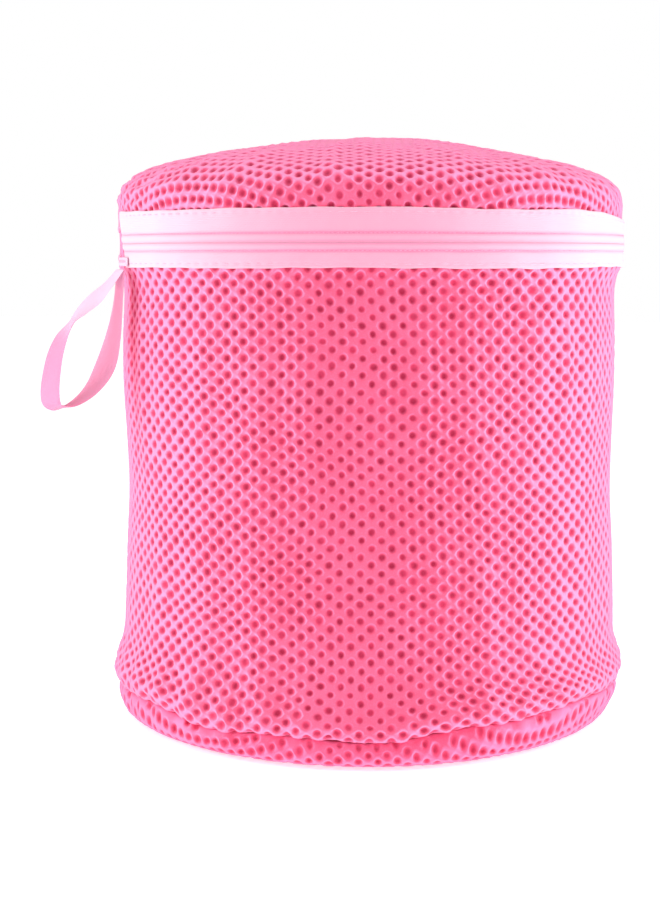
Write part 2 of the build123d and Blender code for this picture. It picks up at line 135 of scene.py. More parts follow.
def sheet(name, outer, inner, mat, **attrs):
    """Closes a thin sheet between two grids of points. Each attribute is a pair of grids,
    for the outer and the inner side."""
    rows, cols = outer.shape[:2]
    n = rows * cols
    first_row = np.arange(cols - 1)
    last_row = first_row + (rows - 1) * cols
    first_col = np.arange(rows - 1) * cols
    last_col = first_col + cols - 1
    polys = [grid_faces(rows, cols), grid_faces(rows, cols, flip=True) + n]
    for edge, step, flip in ((first_row, 1, False), (last_row, 1, True),
                             (first_col, cols, True), (last_col, cols, False)):
        quads = np.stack([edge, n + edge, n + edge + step, edge + step], -1)
        polys.append(quads[:, ::-1] if flip else quads)
    return fast_mesh(
        name, np.concatenate([outer.reshape(-1, 3), inner.reshape(-1, 3)]), polys, [mat],
        **{key: np.concatenate([np.ravel(side) for side in pair]) for key, pair in attrs.items()},
    )


# ------------------------------------------------------------------ curves and fields


def polar(radius, angle, z):
    return np.stack(np.broadcast_arrays(radius * np.cos(angle), radius * np.sin(angle), z), -1)


def tangent(angle, across=1.0, up=0.0):
    """A direction round the axis, leaning up."""
    return np.stack(
        np.broadcast_arrays(-np.sin(angle) * across, np.cos(angle) * across, up), -1)


def unit(vectors):
    return vectors / np.linalg.norm(vectors, axis=-1, keepdims=True)


def arc_length(points):
    steps = np.linalg.norm(np.diff(points, axis=0), axis=1)
    return np.concatenate([[0], np.cumsum(steps)])


def clamp(x):
    return np.clip(x, 0, 1)


def smooth(x):
    x = clamp(x)
    return x * x * (3 - 2 * x)


def bell(x, centre, width):
    return np.exp(-(((x - centre) / width) ** 2))


def near(angle, centre, width):
    """A bell over angle."""
    return bell((np.asarray(angle) - centre + math.pi) % FULL_TURN - math.pi, 0, width)


def degrees_from_front(angle):
    return (np.degrees(np.asarray(angle) - FRONT) + 180) % 360 - 180


def waves(seed, counts, lengths, n=9):
    """A smooth field of angle and run, about -1 to 1, summed from n waves. counts is the
    range of waves round the turn, lengths the range of wavelengths along the run."""
    rng = np.random.default_rng(seed)
    count = rng.integers(counts[0], counts[1] + 1, n)
    rate = FULL_TURN / rng.uniform(lengths[0], lengths[1], n)
    phase_a, phase_b = rng.uniform(0, FULL_TURN, (2, n))
    weight = rng.uniform(0.5, 1, n)

    def field(angle, run):
        angle, run = np.asarray(angle, float), np.asarray(run, float)
        out = 0
        for i in range(n):
            out = out + (weight[i] * np.cos(count[i] * angle + phase_a[i])
                         * np.cos(rate[i] * run + phase_b[i]))
        return out / math.sqrt(n) * 1.6

    return field


def catmull(points, per=24):
    """A smooth curve through the points, with per steps to each span."""
    points = np.asarray(points, float)
    ext = np.vstack([2 * points[0] - points[1], points, 2 * points[-1] - points[-2]])
    t = np.linspace(0, 1, per, endpoint=False)[:, None]
    out = []
    for i in range(1, len(ext) - 2):
        a, b, c, d = ext[i - 1:i + 3]
        out.append(0.5 * (2 * b + (c - a) * t + (2 * a - 5 * b + 4 * c - d) * t**2
                          + (3 * b - a - 3 * c + d) * t**3))
    out.append(points[-1:])
    return np.vstack(out)


class Turned:
    """A surface of revolution about Z given by an (R, z) profile. A place on it is an angle
    and a run, the length along the profile. field(angle, run) displaces it along its normal
    and shift(angle, z) moves it up. side is +1 when outward is to the left of travel."""

    def __init__(self, points, side, field, shift=lambda angle, z: 0.0):
        curve = catmull(points)
        self.run = arc_length(curve)
        self.radius, self.z = curve[:, 0], curve[:, 1]
        travel = unit(np.gradient(curve, self.run, axis=0))
        self.normal_r, self.normal_z = -side * travel[:, 1], side * travel[:, 0]
        self.length = self.run[-1]
        self.field, self.shift = field, shift
        self.buckles = lambda angle, run: 0.0

    def run_at_z(self, z):
        return float(self.run[np.argmin(abs(self.z - z))])

    def at(self, angle, run, height):
        """Points at a height above the displaced surface."""
        radius, z, normal_r, normal_z = (
            np.interp(run, self.run, values)
            for values in (self.radius, self.z, self.normal_r, self.normal_z))
        size = np.hypot(normal_r, normal_z)
        offset = self.field(angle, run) + height + self.buckles(angle, run)
        return polar(radius + normal_r / size * offset, angle,
                     z + normal_z / size * offset + self.shift(angle, z))


# ------------------------------------------------------------------ surfaces

low_a = waves(3, (2, 6), (60, 170))
low_b = waves(5, (3, 9), (40, 110))
pucker_band = waves(11, (22, 38), (400, 900), 7)
pucker_seam = waves(13, (16, 40), (300, 900), 11)
pucker_lid = waves(17, (14, 34), (300, 900), 11)
pucker_fine = waves(61, (44, 96), (300, 900), 10)

# height of the seam between wall and base: degrees from the front, z
SEAM_ROW = np.array([
    (-180, 8.6), (-125, 9.0), (-75, 9.6), (-51, 10.4), (-35, 8.0), (-18, 9.3), (0, 7.9),
    (8.6, 9.0), (13.8, 10.4), (22.7, 11.6), (30, 11.3), (41, 11.8), (48, 12.6), (73, 11.2),
    (125, 9.2), (180, 8.6),
])
SEAM_LEVEL = 8.2                # seam height that needs no rise
SEAM_STEP = 0.5                 # degrees between samples of the smoothed row
SEAM_BLUR = 3.2                 # degrees
BLUR_REACH = 24                 # samples either side

row_degrees = np.arange(-180, 180, SEAM_STEP)
row_heights = np.interp(row_degrees, SEAM_ROW[:, 0], SEAM_ROW[:, 1])
blur = bell(np.arange(-BLUR_REACH, BLUR_REACH + 1) * SEAM_STEP, 0, SEAM_BLUR)
row_heights = np.convolve(
    np.concatenate([row_heights[-BLUR_REACH:], row_heights, row_heights[:BLUR_REACH]]),
    blur / blur.sum(), "valid")


def seam_rise(angle):
    return np.interp(degrees_from_front(angle), row_degrees, row_heights) - SEAM_LEVEL


def wall_shift(angle, z):
    """The full rise at the seam, gone 17 mm above it."""
    return seam_rise(angle) * (1 - smooth((z - 7.8) / 17.0))


def base_shift(angle, z):
    return seam_rise(angle) * smooth((z - 2.0) / 5.6)


# profiles: R, z
WALL_POINTS = [
    (73.92, 134.15), (73.92, 132.2), (73.5, 130.9), (72.85, 129.0), (72.35, 124.0),
    (72.75, 112.0), (72.75, 98.0), (72.15, 82.0), (71.75, 66.0), (72.45, 50.0), (73.05, 34.0),
    (73.65, 24.0), (75.35, 17.2), (76.65, 12.9), (76.4, 10.6), (75.95, 9.1), (75.2, 8.2),
    (73.8, 7.95), (71.6, 8.0),
]
LID_POINTS = [
    (0.0, 169.12), (7.0, 169.02), (22.0, 167.7), (45.0, 164.4), (59.8, 161.0), (68.4, 157.75),
    (73.0, 154.2), (74.3, 150.4), (74.0, 147.6), (73.92, 146.6), (73.92, 143.2),
]
BASE_POINTS = [
    (0.0, 0.38), (30.0, 0.38), (60.0, 0.38), (68.0, 0.40), (72.0, 0.78), (74.3, 2.1),
    (75.2, 4.2), (75.35, 5.8), (75.1, 6.95), (74.2, 7.42), (71.4, 7.4),
]
# slanting pulls: degrees from the front, run below the rim, run per degree, depth
PULLS = [(17, 4.5, 0.62, 0.85), (30, 5.0, 0.80, 0.7), (-40, 4.5, -0.5, 0.45)]
# folds on the lid: run above the rim, run per degree, depth
FOLDS = [(5.4, 0.10, 0.75), (8.6, 0.17, 0.95), (12.4, 0.26, 0.85)]


def wall_field(angle, run):
    end = wall.length - run
    # slow waves, then puckers under the band and above the base seam
    offset = 0.42 * low_a(angle, run) + 0.22 * low_b(angle, run)
    offset = offset + 0.30 * pucker_band(angle, run) * np.exp(-np.clip(run - 3, 0, 99) / 5.5)
    offset = offset + 0.50 * pucker_seam(angle, run) * bell(end, centre=9, width=8.0)
    offset = offset + 0.26 * pucker_fine(angle, run) * bell(end, centre=4.6, width=3.4)
    # two soft dents low on the left of the front and one high on the right
    for depth, turn, spread, rows in (
        (1.0, -0.55, 0.10, bell(end, centre=16, width=12)),
        (0.7, -0.80, 0.08, bell(end, centre=13, width=9)),
        (0.8, 0.55, 0.12, bell(run, centre=26, width=16)),
    ):
        offset = offset - depth * near(angle, FRONT + turn, spread) * rows
    # pulls under the band, two on the right and one on the left, each with a ridge below;
    # they fade in over 8 degrees and out from 16 to 30
    degrees = degrees_from_front(angle)
    for start, top_run, slope, depth in PULLS:
        across = np.sign(slope) * (degrees - start)
        weight = smooth(across / 8) * smooth((30 - across) / 14)
        below = run - (top_run + abs(slope) * across)
        offset = (offset - depth * weight * bell(below, centre=0, width=1.5)
                  + 0.4 * depth * weight * bell(below, centre=3.2, width=1.7))
    offset = np.clip(offset, -1.6, 0.46)
    # the side seam pulls in
    offset = offset - 0.7 * near(angle, SEAM_ANGLE, 0.022)
    # held still at both rims
    return offset * clamp((run - 2.6) / 5.0) * clamp(end / 4.5)


def lid_field(angle, run):
    end = lid.length - run
    centre_fade = clamp(run / 20.0)
    offset = (0.35 * low_a(angle, run * 1.7) * centre_fade
              + 0.25 * low_b(angle, run * 1.3) * centre_fade)
    offset = offset + 0.55 * pucker_lid(angle, run) * bell(end, centre=13, width=7.0)
    # folds that run down and back across the left shoulder, each with a ridge above
    degrees = degrees_from_front(angle)
    for rim_run, slope, depth in FOLDS:
        weight = smooth((degrees + 92) / 12) * smooth((-36 - degrees) / 22)
        above = end - rim_run - slope * (degrees + 85)
        offset = offset - depth * weight * bell(above, centre=0, width=1.15)
        offset = offset + 0.45 * depth * weight * bell(above, centre=1.8, width=1.1)
    # the right shoulder sits lower than the left
    offset = offset - 1.7 * near(angle, FRONT + 1.45, 0.75) * bell(run, centre=50, width=14)
    offset = offset + 0.75 * near(angle, FRONT - 1.4, 0.7) * bell(run, centre=50, width=13)
    return np.clip(offset, -2.4, 0.62) * clamp((end - 4.2) / 3.0)


def base_field(angle, run):
    end = base.length - run
    lip = bell(end, centre=5.0, width=3.0)
    offset = np.clip(0.34 * pucker_seam(angle, run + 40) * lip
                     + 0.22 * pucker_fine(angle, run) * lip, -0.7, 0.3)
    # the lip is rounder on the right
    return offset - 2.4 * near(angle, FRONT + 1.0, 0.6) * bell(end, centre=8.4, width=3.4)


wall = Turned(WALL_POINTS, side=1, field=wall_field, shift=wall_shift)
lid = Turned(LID_POINTS, side=1, field=lid_field)
base = Turned(BASE_POINTS, side=-1, field=base_field, shift=base_shift)

# ------------------------------------------------------------------ cloth
CLOTH_SCALE = 0.01              # the cloth is solved at ten times its size in metres
CLOTH_FRAMES = 34


def cloth_field(surface, run0, run1, rows, cols, seed, pressure, slack, reach):
    """Lets a slack copy of the surface, sewn down at its rims, settle under pressure
    and gravity. Returns the buckles it takes as a field over angle and run."""
    angle, run = np.meshgrid(np.arange(cols) * FULL_TURN / cols, np.linspace(run0, run1, rows))
    seeded = waves(seed, (9, 44), (14, 46), 16)
    start = surface.at(angle, run, 0.15 * seeded(angle, run))
    rest = surface.at(angle, run, 0.0)
    away = surface.at(angle, run, 1.0) - rest
    mesh = bpy.data.meshes.new("cloth_try")
    mesh.from_pydata((start.reshape(-1, 3) * CLOTH_SCALE).tolist(), [],
                     grid_faces(rows, cols, True).tolist())
    ob = bpy.data.objects.new("cloth_try", mesh)
    scene.collection.objects.link(ob)
    pins = list(range(cols)) + list(range((rows - 1) * cols, rows * cols))
    ob.vertex_groups.new(name="pin").add(pins, 1.0, "REPLACE")
    mod = ob.modifiers.new("Cloth", "CLOTH")
    cloth = mod.settings
    cloth.quality = 5
    cloth.mass = 0.35
    cloth.tension_stiffness = cloth.compression_stiffness = 25
    cloth.shear_stiffness = 8
    cloth.bending_stiffness = 1.2
    cloth.air_damping = 3
    cloth.vertex_group_mass = "pin"
    cloth.shrink_min = -slack
    cloth.use_pressure = True
    cloth.uniform_pressure_force = pressure
    mod.collision_settings.use_collision = False
    mod.point_cache.frame_start = 1
    mod.point_cache.frame_end = CLOTH_FRAMES
    for i in range(1, CLOTH_FRAMES + 1):
        scene.frame_set(i)
    settled = ob.evaluated_get(bpy.context.evaluated_depsgraph_get())
    out = np.zeros(len(mesh.vertices) * 3, np.float32)
    settled.data.vertices.foreach_get("co", out)
    out = out.reshape(rows, cols, 3).astype(float) / CLOTH_SCALE
    scene.frame_set(1)
    bpy.data.objects.remove(ob)
    bpy.data.meshes.remove(mesh)

    # outward travel about each row's mean, brought to between half of reach and reach
    moved = ((out - rest) * away).sum(-1)
    moved = np.nan_to_num(moved - moved.mean(1, keepdims=True))
    peak = np.percentile(abs(moved), 99) + 1e-9
    moved = np.clip(moved * min(1.0, reach / peak) if peak > reach else moved, -reach, reach)
    if peak < reach * 0.5:
        moved = moved * min(4.0, reach * 0.5 / peak)

    def sample(angle, run):
        run = np.asarray(run, float)
        x = (np.asarray(angle, float) / FULL_TURN * cols) % cols
        y = np.clip((run - run0) / (run1 - run0) * (rows - 1), 0, rows - 1.001)
        i, j = np.floor(x).astype(int), np.floor(y).astype(int)
        part_x, part_y = smooth(x - i), smooth(y - j)
        after = (i + 1) % cols
        i = i % cols
        value = (moved[j, i] * (1 - part_x) + moved[j, after] * part_x) * (1 - part_y)
        value = value + (moved[j + 1, i] * (1 - part_x) + moved[j + 1, after] * part_x) * part_y
        return np.where((run > run0) & (run < run1), value, 0.0)

    return sample


lid.buckles = cloth_field(lid, 14.0, lid.length - 5.2, rows=42, cols=168, seed=41,
                          pressure=0.9, slack=0.025, reach=0.8)
wall.buckles = cloth_field(wall, 3.2, wall.length - 2.2, rows=72, cols=168, seed=43,
                           pressure=0.25, slack=0.012, reach=0.6)

# ------------------------------------------------------------------ materials


def srgb(*levels):
    """A linear colour from 0 to 255 sRGB levels."""
    def linear(c):
        return c / 12.92 if c <= 0.04045 else ((c + 0.055) / 1.055) ** 2.4
    return (*(linear(level / 255) for level in levels), 1.0)


class Material:
    """A Principled material with short ways to add nodes."""

    def __init__(self, name):
        self.data = bpy.data.materials.new(name)
        self.data.use_nodes = True
        self.tree = self.data.node_tree
        self.shader = self.tree.nodes["Principled BSDF"]
        self.coord = self.node("ShaderNodeTexCoord").outputs["Object"]

    def node(self, kind, **props):
        node = self.tree.nodes.new(kind)
        for key, value in props.items():
            setattr(node, key, value)
        return node

    def feed(self, socket, value):
        """Sets a socket to a value or links it to another socket."""
        if isinstance(value, (int, float, tuple)):
            socket.default_value = value
        else:
            self.tree.links.new(value, socket)

    def set(self, **values):
        for key, value in values.items():
            self.feed(self.shader.inputs[key.replace("_", " ")], value)

    def texture(self, kind, props, **values):
        node = self.node(kind, **props)
        for key, value in values.items():
            node.inputs[key].default_value = value
        self.feed(node.inputs["Vector"], self.coord)
        return node.outputs

    def noise(self, scale, detail=3, roughness=0.55):
        return self.texture("ShaderNodeTexNoise", {}, Scale=scale, Detail=detail,
                            Roughness=roughness)["Fac"]

    def attribute(self, name):
        return self.node("ShaderNodeAttribute", attribute_name=name).outputs["Fac"]

    def xyz(self):
        node = self.node("ShaderNodeSeparateXYZ")
        self.feed(node.inputs[0], self.coord)
        return node.outputs

    def ramp(self, fac, *stops):
        """Colours at positions; a plain number is a grey."""
        node = self.node("ShaderNodeValToRGB")
        elements = node.color_ramp.elements
        while len(elements) < len(stops):
            elements.new(0.5)
        for element, (position, color) in zip(elements, stops):
            element.position = position
            element.color = color if isinstance(color, tuple) else (color,) * 3 + (1,)
        self.feed(node.inputs["Fac"], fac)
        return node.outputs["Color"]

    def mix(self, fac, color_a, color_b):
        node = self.node("ShaderNodeMix", data_type="RGBA")
        for index, value in ((0, fac), (6, color_a), (7, color_b)):
            self.feed(node.inputs[index], value)
        return node.outputs[2]

    def math(self, operation, a, b=0.0, c=0.0):
        node = self.node("ShaderNodeMath", operation=operation)
        for i, value in enumerate((a, b, c)):
            self.feed(node.inputs[i], value)
        return node.outputs[0]

    def times(self, a, b):
        return self.math("MULTIPLY", a, b)

    def plus(self, a, b):
        return self.math("ADD", a, b)

    def line(self, value, slope, start):
        return self.math("MULTIPLY_ADD", value, slope, start)

    def bump(self, height, strength, distance):
        """distance is in metres."""
        node = self.node("ShaderNodeBump")
        node.inputs["Strength"].default_value = strength
        node.inputs["Distance"].default_value = distance
        self.feed(node.inputs["Height"], height)
        self.feed(self.shader.inputs["Normal"], node.outputs["Normal"])

    def painted_side_sheen(self, *stops):
        """Grows as the surface turns from the eye: a painted highlight of the side lamps."""
        node = self.node("ShaderNodeLayerWeight")
        node.inputs["Blend"].default_value = 0.5
        return self.ramp(node.outputs["Facing"], *stops)


def cylinder_weave(mat, across, along):
    """A woven height field round the bag: across and along are threads per metre."""
    axes = mat.xyz()
    angle = mat.math("ARCTAN2", axes[1], axes[0])
    weave_radius = 0.075
    u = mat.times(angle, weave_radius * across)
    v = mat.times(axes[2], along)
    slanted = mat.math("SINE", mat.times(mat.plus(u, mat.times(v, 0.5)), FULL_TURN))
    level = mat.math("SINE", mat.times(v, FULL_TURN))
    return mat.plus(mat.times(slanted, 0.5), mat.times(level, 0.5))


def fabric(name, pale, deep, hole, edge):
    """Knit: patchy between pale and deep, with hole colour, painted shade, where zone nears 1,
    and edge colour on the fibres and, as painted highlight, where it turns away."""
    stitches, fibres = 5200.0 / 2.1, 5200.0 * 1.6      # texture scales of the yarn
    fibre_tint, painted_hole_sheen = 0.17, 0.75                 # strength of the edge colour on fibres and of the painted highlight in holes
    mat = Material(name)
    zone = mat.attribute("zone")
    patches = mat.ramp(mat.noise(scale=38, detail=2), (0.35, 0), (0.65, 1))
    tint = mat.mix(patches, deep, pale)
    loops = mat.texture("ShaderNodeTexVoronoi", {"feature": "SMOOTH_F1"},
                        Scale=stitches, Smoothness=0.4)
    stitch = mat.ramp(loops["Distance"], (0.05, 1), (0.55, 0))
    fibre = mat.plus(mat.times(stitch, 0.6),
                     mat.times(mat.noise(scale=fibres, detail=2, roughness=0.7), 0.5))
    tint = mat.mix(mat.times(fibre, fibre_tint), tint, edge)
    # painted highlight: edge colour where the knit turns from the eye, for the side lamps' sheen
    side = mat.painted_side_sheen((0.08, 0.0), (0.22, 0.40), (0.42, 0.84), (0.64, 0.66), (0.9, 0.42))
    tint = mat.mix(side, tint, edge)
    # painted shade in the holes: patchy, and paler where the painted highlight falls
    hole_patches = mat.ramp(mat.noise(scale=210, detail=1), (0.38, 0), (0.62, 1))
    hole_shade_tint = mat.mix(hole_patches, hole, srgb(226, 66, 112))
    hole_shade_tint = mat.mix(mat.times(side, painted_hole_sheen), hole_shade_tint, srgb(246, 92, 136))
    tint = mat.mix(mat.ramp(zone, (0.12, 0), (0.70, 0.75), (1.0, 1)), tint, hole_shade_tint)
    mat.set(Base_Color=tint, Roughness=0.6, Sheen_Weight=0.18, Sheen_Roughness=0.4,
            Sheen_Tint=(1, 0.78, 0.95, 1), Specular_IOR_Level=0.35)
    fuzz = mat.times(mat.noise(scale=1500, detail=2), 0.5)
    mat.bump(mat.plus(fibre, fuzz), strength=0.55, distance=0.00013)
    return mat.data


def tape_material(name, body, shade, across, along):
    """Woven tape, painted shade on its zone rows and painted highlight where it turns away."""
    mat = Material(name)
    weave = cylinder_weave(mat, across, along)
    zone = mat.attribute("zone")
    tint = mat.mix(mat.line(weave, slope=0.12, start=0.14), body, shade)
    patches = mat.ramp(mat.noise(scale=90, detail=3), (0.3, 0), (0.8, 0.25))
    tint = mat.mix(patches, tint, shade)
    # painted highlight: paler where the tape turns from the eye, for the side lamps
    turned = mat.painted_side_sheen((0.03, 0.0), (0.22, 0.38), (0.50, 0.88), (0.8, 0.95))
    tint = mat.mix(turned, tint, srgb(243, 207, 222))
    # painted shade on the zone rows, fainter where the painted highlight falls
    painted_row_shade = mat.times(zone, mat.line(turned, slope=-0.62, start=1.0))
    mat.set(Base_Color=mat.mix(painted_row_shade, tint, srgb(232, 122, 164)), Roughness=0.6,
            Sheen_Weight=0.15, Sheen_Tint=(1, 0.92, 0.97, 1))
    fuzz = mat.times(mat.noise(scale=6000, detail=2), 0.6)
    mat.bump(mat.plus(weave, fuzz), strength=0.35, distance=0.00010)
    return mat.data


def ribbon_material():
    """Twill in painted shade, none at zone 0 on its face and most at zone 1 in its fold."""
    twill_rate, rib_rate = 9.5, 14.0                   # radians per millimetre
    mat = Material("ribbon_twill")
    along, across, zone = (mat.attribute(key) for key in ("along", "across", "zone"))
    twill = mat.math("SINE", mat.times(mat.plus(along, across), twill_rate))
    rib = mat.math("SINE", mat.times(across, rib_rate))
    relief = mat.plus(mat.times(twill, 0.6), mat.times(rib, 0.4))
    tint = mat.mix(mat.line(relief, slope=0.10, start=0.12),
                   srgb(248, 208, 232), srgb(246, 190, 220))
    # painted shade: deeper pink where the ribbon turns its back and on its inner strand
    deep = mat.ramp(zone, (0.55, srgb(255, 174, 210)), (1.0, srgb(240, 124, 172)))
    mat.set(Base_Color=mat.mix(mat.ramp(zone, (0.0, 0), (0.55, 0.92)), tint, deep),
            Roughness=0.5, Sheen_Weight=0.15, Sheen_Tint=(1, 0.9, 0.96, 1))
    mat.bump(relief, strength=0.4, distance=0.00012)
    return mat.data


def thread_material(name, color_a, color_b):
    mat = Material(name)
    twist = mat.texture("ShaderNodeTexWave",
                        {"wave_type": "BANDS", "bands_direction": "DIAGONAL"},
                        Scale=900, Distortion=1.0)["Fac"]
    mat.set(Base_Color=mat.mix(twist, color_a, color_b), Roughness=0.5, Sheen_Weight=0.2)
    mat.bump(twist, strength=0.4, distance=0.00008)
    return mat.data


def plastic(name, color_a, color_b, roughness, metallic=0.0, coat=0.0):
    mat = Material(name)
    mat.set(Base_Color=mat.mix(mat.noise(scale=260, detail=4), color_a, color_b))
    mat.set(Roughness=mat.line(mat.noise(scale=900, detail=3), slope=0.18, start=roughness),
            Metallic=metallic, Coat_Weight=coat)
    mat.bump(mat.noise(scale=2200, detail=3), strength=0.10, distance=0.00005)
    return mat.data


def inside_material():
    """The knit's inner side, dotted with the backs of the holes in painted shade."""
    mat = Material("mesh_inside")
    cells = mat.texture("ShaderNodeTexVoronoi", {"feature": "F1"}, Scale=620, Randomness=0.35)
    dots = mat.ramp(cells["Distance"], (0.10, 0), (0.34, 1))
    tint = mat.mix(dots, srgb(206, 52, 104), srgb(252, 122, 168))
    fuzz = mat.times(mat.noise(scale=4200, detail=2), 0.25)
    mat.set(Base_Color=mat.mix(fuzz, tint, srgb(255, 170, 205)), Roughness=0.65,
            Sheen_Weight=0.35)
    mat.bump(dots, strength=0.6, distance=0.00025)
    return mat.data


# hole colours are painted shade in the holes; edge colours are also the painted highlight
mesh_mat = fabric("mesh_knit", pale=srgb(255, 98, 139), deep=srgb(255, 84, 124),
                  hole=srgb(190, 38, 84), edge=srgb(255, 160, 210))
base_mat = fabric("mesh_knit_base", pale=srgb(255, 92, 136), deep=srgb(253, 76, 120),
                  hole=srgb(200, 38, 84), edge=srgb(255, 146, 198))
tape_mat = tape_material("zip_tape_weave", body=srgb(238, 168, 194), shade=srgb(231, 144, 176),
                         across=2300.0, along=2100.0)
binding_mat = tape_material("binding_weave", body=srgb(250, 172, 202),
                            shade=srgb(238, 132, 174), across=1500, along=1700)
ribbon_mat = ribbon_material()
thread_mat = thread_material("sewing_thread", srgb(255, 190, 218), srgb(240, 140, 182))
band_thread_mat = thread_material("band_thread", srgb(243, 182, 206), srgb(240, 170, 198))
coil_thread_mat = thread_material("coil_thread", srgb(244, 160, 196), srgb(236, 132, 176))
coil_mat = plastic("coil_nylon", srgb(250, 150, 192), srgb(238, 118, 170), roughness=0.28)
slider_mat = plastic("slider_enamel", srgb(246, 150, 190), srgb(236, 126, 172),
                     roughness=0.22, metallic=0.25, coat=0.3)
inside_mat = inside_material()

# ------------------------------------------------------------------ knitted lattice
ACROSS, ALONG = 5.28, 4.3       # lattice pitch across and along
# outline of one cell, drawn at a pitch of 5.3 by 4.3
CELL = np.array([
    (2.197, 0), (1.325, 1.075), (0.452, 2.15), (-0.452, 2.15), (-1.325, 1.075),
    (-2.197, 0), (-1.325, -1.075), (-0.452, -2.15), (0.452, -2.15), (1.325, -1.075),
]) * (ACROSS / 5.3, ALONG / 4.3)
SIDES = len(CELL)
CELL_ANGLES = np.arctan2(CELL[:, 1], CELL[:, 0])
# rings of each hole: radius, height above the sheet, zone (share of painted hole shade)
RINGS = [(1.46, 0.19, 0.05), (1.03, -0.12, 0.66), (0.68, -0.62, 1.0)]
PIT = -0.82                     # height of a hole's middle
CREST = 0.30                    # height of the cell edges
INSIDE = 1                      # material slot of the lining


def perforate(pile, centres, holes, limit, place, seed, tone=lambda flat: np.zeros(len(flat))):
    """Adds a knitted sheet. centres are flat millimetres, holes says which cells are
    open, limit clamps flat points to the sheet, place(points, height) puts them and
    tone(points) is the zone of the solid knit."""
    rng = np.random.default_rng(seed)
    n = len(centres)
    # edge points shared by neighbouring cells are made once
    flat = (centres[:, None, :] + CELL[None]).reshape(-1, 2)
    key = np.round(flat * 200).astype(np.int64)
    _, first, shared = np.unique(key, axis=0, return_index=True, return_inverse=True)
    shared = np.asarray(shared).reshape(n, SIDES)
    edge_flat = limit(flat[first])
    count = len(edge_flat)
    points = [place(edge_flat, np.full(count, CREST))]
    zone = [tone(edge_flat)]
    grow = 1 + rng.uniform(-0.11, 0.11, n)
    squeeze = rng.uniform(-0.05, 0.05, n)
    middles = (centres + rng.uniform(-0.11, 0.11, (n, 2)))[holes]
    open_count = int(holes.sum())
    rings = [shared[holes]]
    for radius, height, ring_zone in RINGS:
        ring = np.stack([
            np.cos(CELL_ANGLES)[None] * radius * (grow * (1 + squeeze))[holes][:, None],
            np.sin(CELL_ANGLES)[None] * radius * (grow * (1 - squeeze))[holes][:, None],
        ], -1) + middles[:, None]
        points.append(place(limit(ring.reshape(-1, 2)), np.full(open_count * SIDES, height)))
        zone.append(np.full(open_count * SIDES, ring_zone))
        rings.append(count + np.arange(open_count * SIDES).reshape(open_count, SIDES))
        count += open_count * SIDES
    polys = []
    for a, b in zip(rings[:-1], rings[1:]):
        quads = np.stack([a, np.roll(a, -1, 1), np.roll(b, -1, 1), b], -1)
        polys.append(quads.reshape(-1, 4))

    def fan(ring, first_middle):
        middle = np.repeat(first_middle + np.arange(len(ring))[:, None], SIDES, 1)
        return np.stack([ring, np.roll(ring, -1, 1), middle], -1).reshape(-1, 3)

    points.append(place(limit(middles), np.full(open_count, PIT)))
    zone.append(np.full(open_count, 1.0))
    polys.append(fan(rings[-1], count))
    count += open_count
    solid = ~holes
    solid_count = int(solid.sum())
    if solid_count:
        points.append(place(limit(centres[solid]), np.full(solid_count, CREST - 0.1)))
        zone.append(tone(centres[solid]))
        polys.append(fan(shared[solid], count))
    pile.add(np.concatenate(points), polys, 0, np.concatenate(zone))


def lattice(u0, u1, v0, v1):
    """Cell centres over a flat rectangle, in two staggered sets."""
    i = np.arange(math.floor(u0 / ACROSS) - 1, math.ceil(u1 / ACROSS) + 2)
    j = np.arange(math.floor(v0 / ALONG) - 1, math.ceil(v1 / ALONG) + 2)
    grid = np.stack(np.meshgrid(i, j), -1).reshape(-1, 2).astype(float)
    cells = np.vstack([grid, grid + 0.5]) * (ACROSS, ALONG)
    u, v = cells.T
    return cells[(u > u0 - ACROSS) & (u < u1 + ACROSS) & (v > v0 - ALONG) & (v < v1 + ALONG)]


def open_cells(cells, width, length, side, top, bottom):
    """Cells of a rectangle that are clear of its margins."""
    u, v = cells.T
    return (u > side) & (u < width - side) & (v > top) & (v < length - bottom)


def box_limit(width, length):
    return lambda flat: np.clip(flat, 0.0, (width, length))


def add_lining(pile, surface, run0, run1, rows, cols, depth, flip):
    angle, run = np.meshgrid(np.arange(cols) * FULL_TURN / cols, np.linspace(run0, run1, rows))
    pile.add(surface.at(angle, run, depth), [grid_faces(rows, cols, True, flip)], INSIDE)


def add_rim(pile, surface, run, cols, start, end):
    """Closes a panel's raw edge from one height to another."""
    angle = np.arange(cols) * FULL_TURN / cols
    rows = [surface.at(angle, np.full(cols, run), height)
            for height in (start, (start + end) / 2, end)]
    pile.add(np.concatenate(rows), [grid_faces(3, cols, True)], INSIDE)


# ------------------------------------------------------------------ wall panel
WALL_ROUND = 86 * ACROSS        # flat width, a whole number of cells
LINING = -2.6                   # height of the lining of wall and lid
OUTER = 0.3                     # height where their closed edges end
warp_u = waves(23, (2, 8), (30, 90))
warp_v = waves(29, (2, 8), (30, 90))


def wall_place(flat, height):
    """u runs round from the side seam, v runs down the profile."""
    u, run = flat.T
    angle = SEAM_ANGLE + u / WALL_ROUND * FULL_TURN
    top = clamp(run / 6)
    shift_u = 0.45 * warp_u(angle, run) * top
    shift_v = 0.40 * warp_v(angle, run) * top * clamp((wall.length - run) / 6)
    seam_fade = clamp(u / 5) * clamp((WALL_ROUND - u) / 5)
    angle = angle + shift_u * seam_fade / 72.0
    return wall.at(angle, np.clip(run + shift_v, 0, wall.length), height)


